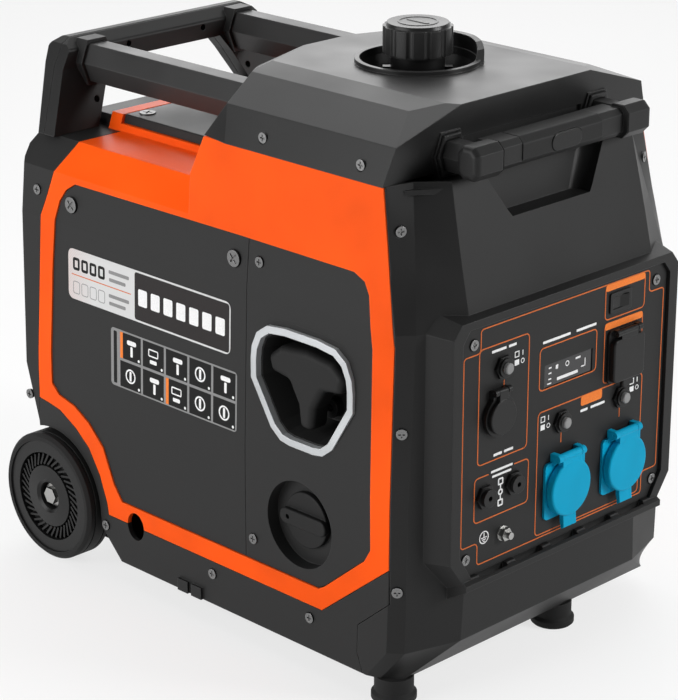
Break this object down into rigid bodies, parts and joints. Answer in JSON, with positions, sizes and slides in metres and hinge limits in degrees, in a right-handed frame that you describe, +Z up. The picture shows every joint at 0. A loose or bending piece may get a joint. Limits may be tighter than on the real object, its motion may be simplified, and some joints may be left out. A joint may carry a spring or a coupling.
{
  "type": "inverter generator",
  "caption": "Closed-frame petrol inverter generator on two wheels, with a pull-out handle, control panel with sockets, recoil starter and fuel cap.",
  "frame": {"origin": "middle of the overall length and width, on the ground under the wheels and feet", "axes": "+X towards the control panel, +Y away from the recoil starter side, +Z up"},
  "size_m": [0.5306, 0.36, 0.5208],
  "materials": {
    "black_plastic": "fine moulded grain",
    "orange_plastic": "gloss paint on moulded plastic",
    "rail_paint": "satin powder coat",
    "bright_steel": "zinc plated",
    "trim_silver": "satin silver paint",
    "socket_blue": "smooth satin moulding",
    "dark_gloss": "smooth moulding",
    "button_grey": "smooth moulding",
    "display_window": "clear window over a dark screen",
    "tyre_rubber": "matte rubber",
    "rope_cord": "braided cord",
    "cast_alloy": "as cast",
    "rotor_iron": "machined",
    "muffler_steel": "heat tinted"
  },
  "bodies": {
    "housing": {"base_tub": "black_plastic", "side_frame_left": "orange_plastic", "side_frame_right": "orange_plastic", "rear_cover": "black_plastic", "recoil_cover": "black_plastic", "window_trim": "trim_silver", "right_panel": "black_plastic", "top_cover": "black_plastic", "front_housing": "black_plastic", "carry_handle_rear": "black_plastic", "carry_handle_front": "black_plastic", "side_rails": "rail_paint", "service_cover": "black_plastic", "control_panel": "black_plastic", "eco_switch": "dark_gloss", "usb_socket": "dark_gloss", "display": "display_window", "breaker_collars": "dark_gloss", "dc_socket": "dark_gloss", "ac_sockets": "socket_blue", "parallel_ports": "dark_gloss", "earth_terminal": "bright_steel", "housing_screws": "bright_steel", "handle_sockets": "black_plastic", "fuel_tank": "black_plastic", "starter_rope": "rope_cord", "recoil_housing": "black_plastic", "axle": "bright_steel", "front_feet": "tyre_rubber", "engine_block": "cast_alloy", "cylinder_head": "cast_alloy", "muffler": "muffler_steel", "inverter_module": "cast_alloy", "carburettor": "cast_alloy", "air_filter_box": "black_plastic"},
    "pull_handle": {"handle_tubes": "rail_paint", "handle_crossbar": "black_plastic", "handle_grip": "black_plastic"},
    "release_button": {"handle_button": "black_plastic"},
    "cap_insert": {"fuel_cap_insert": "black_plastic"},
    "cap": {"fuel_cap": "black_plastic"},
    "starter_grip": {"starter_handle": "black_plastic"},
    "starter_pulley": {"recoil_pulley": "black_plastic"},
    "choke": {"choke_knob": "black_plastic"},
    "door": {"maintenance_door": "black_plastic"},
    "lock_rear": {"door_lock_rear": "bright_steel"},
    "lock_front": {"door_lock_front": "bright_steel"},
    "eco": {"eco_rocker": "dark_gloss"},
    "usb_lid": {"usb_cap": "dark_gloss"},
    "dc_lid": {"dc_cap": "dark_gloss"},
    "dc_breaker": {"dc_breaker_button": "button_grey"},
    "ac_breaker_left": {"ac_breaker_left_button": "button_grey"},
    "ac_breaker_right": {"ac_breaker_right_button": "button_grey"},
    "ac_left_lid": {"ac_lid_left": "socket_blue"},
    "ac_right_lid": {"ac_lid_right": "socket_blue"},
    "wheel_left": {"hub_left": "black_plastic", "tyre_left": "tyre_rubber"},
    "wheel_right": {"hub_right": "black_plastic", "tyre_right": "tyre_rubber"},
    "alternator": {"rotor": "rotor_iron"}
  },
  "joints": [
    {"name": "pull_handle_slide", "type": "slide", "parent": "housing", "child": "pull_handle", "axis": [1, 0, 0], "range_m": [0, 0.3]},
    {"name": "release_button_press", "type": "slide", "parent": "pull_handle", "child": "release_button", "axis": [-1, 0, 0], "range_m": [0, 0.003], "stiffness_N_per_m": 400, "springref_m": -0.002},
    {"name": "fuel_cap_lift", "type": "slide", "parent": "housing", "child": "cap_insert", "axis": [0, 0, 1], "range_m": [0, 0.06]},
    {"name": "fuel_cap_turn", "type": "hinge", "parent": "cap_insert", "child": "cap", "pos_m": [0.085, 0, 0.5], "axis": [0, 0, 1], "range_deg": [0, 150]},
    {"name": "starter_pull", "type": "slide", "parent": "housing", "child": "starter_grip", "axis": [0, -1, 0], "range_m": [0, 0.45], "stiffness_N_per_m": 25, "springref_m": -0.2, "deforming": ["starter_rope"]},
    {"name": "starter_pulley_turn", "type": "hinge", "parent": "housing", "child": "starter_pulley", "pos_m": [0.0665, -0.1135, 0.198], "axis": [0, -1, 0], "range_deg": [0, 500]},
    {"name": "choke_turn", "type": "hinge", "parent": "housing", "child": "choke", "pos_m": [0.116, -0.16, 0.132], "axis": [0, -1, 0], "range_deg": [0, 90]},
    {"name": "door_removal", "type": "slide", "parent": "housing", "child": "door", "axis": [0, -1, 0], "range_m": [0, 0.08]},
    {"name": "door_lock_rear_turn", "type": "hinge", "parent": "door", "child": "lock_rear", "pos_m": [-0.1747, -0.16, 0.3415], "axis": [0, -1, 0], "range_deg": [0, 90]},
    {"name": "door_lock_front_turn", "type": "hinge", "parent": "door", "child": "lock_front", "pos_m": [0.035, -0.16, 0.3415], "axis": [0, -1, 0], "range_deg": [0, 90]},
    {"name": "eco_switch_rock", "type": "hinge", "parent": "housing", "child": "eco", "pos_m": [0.2508, 0.066, 0.303], "axis": [0, 0, 1], "range_deg": [0, 14]},
    {"name": "usb_cap_hinge", "type": "hinge", "parent": "housing", "child": "usb_lid", "pos_m": [0.2603, 0.0725, 0.277], "axis": [0, -1, 0], "range_deg": [0, 95]},
    {"name": "dc_cap_hinge", "type": "hinge", "parent": "housing", "child": "dc_lid", "pos_m": [0.2598, -0.084, 0.2652], "axis": [0, -1, 0], "range_deg": [0, 95]},
    {"name": "dc_breaker_press", "type": "slide", "parent": "housing", "child": "dc_breaker", "axis": [-1, 0, 0], "range_m": [0, 0.003], "stiffness_N_per_m": 300, "springref_m": -0.002},
    {"name": "ac_breaker_left_press", "type": "slide", "parent": "housing", "child": "ac_breaker_left", "axis": [-1, 0, 0], "range_m": [0, 0.003], "stiffness_N_per_m": 300, "springref_m": -0.002},
    {"name": "ac_breaker_right_press", "type": "slide", "parent": "housing", "child": "ac_breaker_right", "axis": [-1, 0, 0], "range_m": [0, 0.003], "stiffness_N_per_m": 300, "springref_m": -0.002},
    {"name": "ac_lid_left_hinge", "type": "hinge", "parent": "housing", "child": "ac_left_lid", "pos_m": [0.262, 0.0004, 0.187], "axis": [0, -1, 0], "range_deg": [0, 95], "stiffness_Nm_per_rad": 0.02, "springref_deg": -28.65},
    {"name": "ac_lid_right_hinge", "type": "hinge", "parent": "housing", "child": "ac_right_lid", "pos_m": [0.262, 0.0734, 0.187], "axis": [0, -1, 0], "range_deg": [0, 95], "stiffness_Nm_per_rad": 0.02, "springref_deg": -28.65},
    {"name": "wheel_left_roll", "type": "hinge", "parent": "housing", "child": "wheel_left", "pos_m": [-0.205, -0.166, 0.06], "axis": [0, 1, 0], "continuous": true},
    {"name": "wheel_right_roll", "type": "hinge", "parent": "housing", "child": "wheel_right", "pos_m": [-0.205, 0.166, 0.06], "axis": [0, 1, 0], "continuous": true},
    {"name": "rotor_turn", "type": "hinge", "parent": "housing", "child": "alternator", "pos_m": [0.0665, -0.067, 0.198], "axis": [0, 1, 0], "continuous": true}
  ],
  "couplings": [
    {"joint": "starter_pulley_turn", "follows": "starter_pull", "rad_per_m": 19.231}
  ]
}
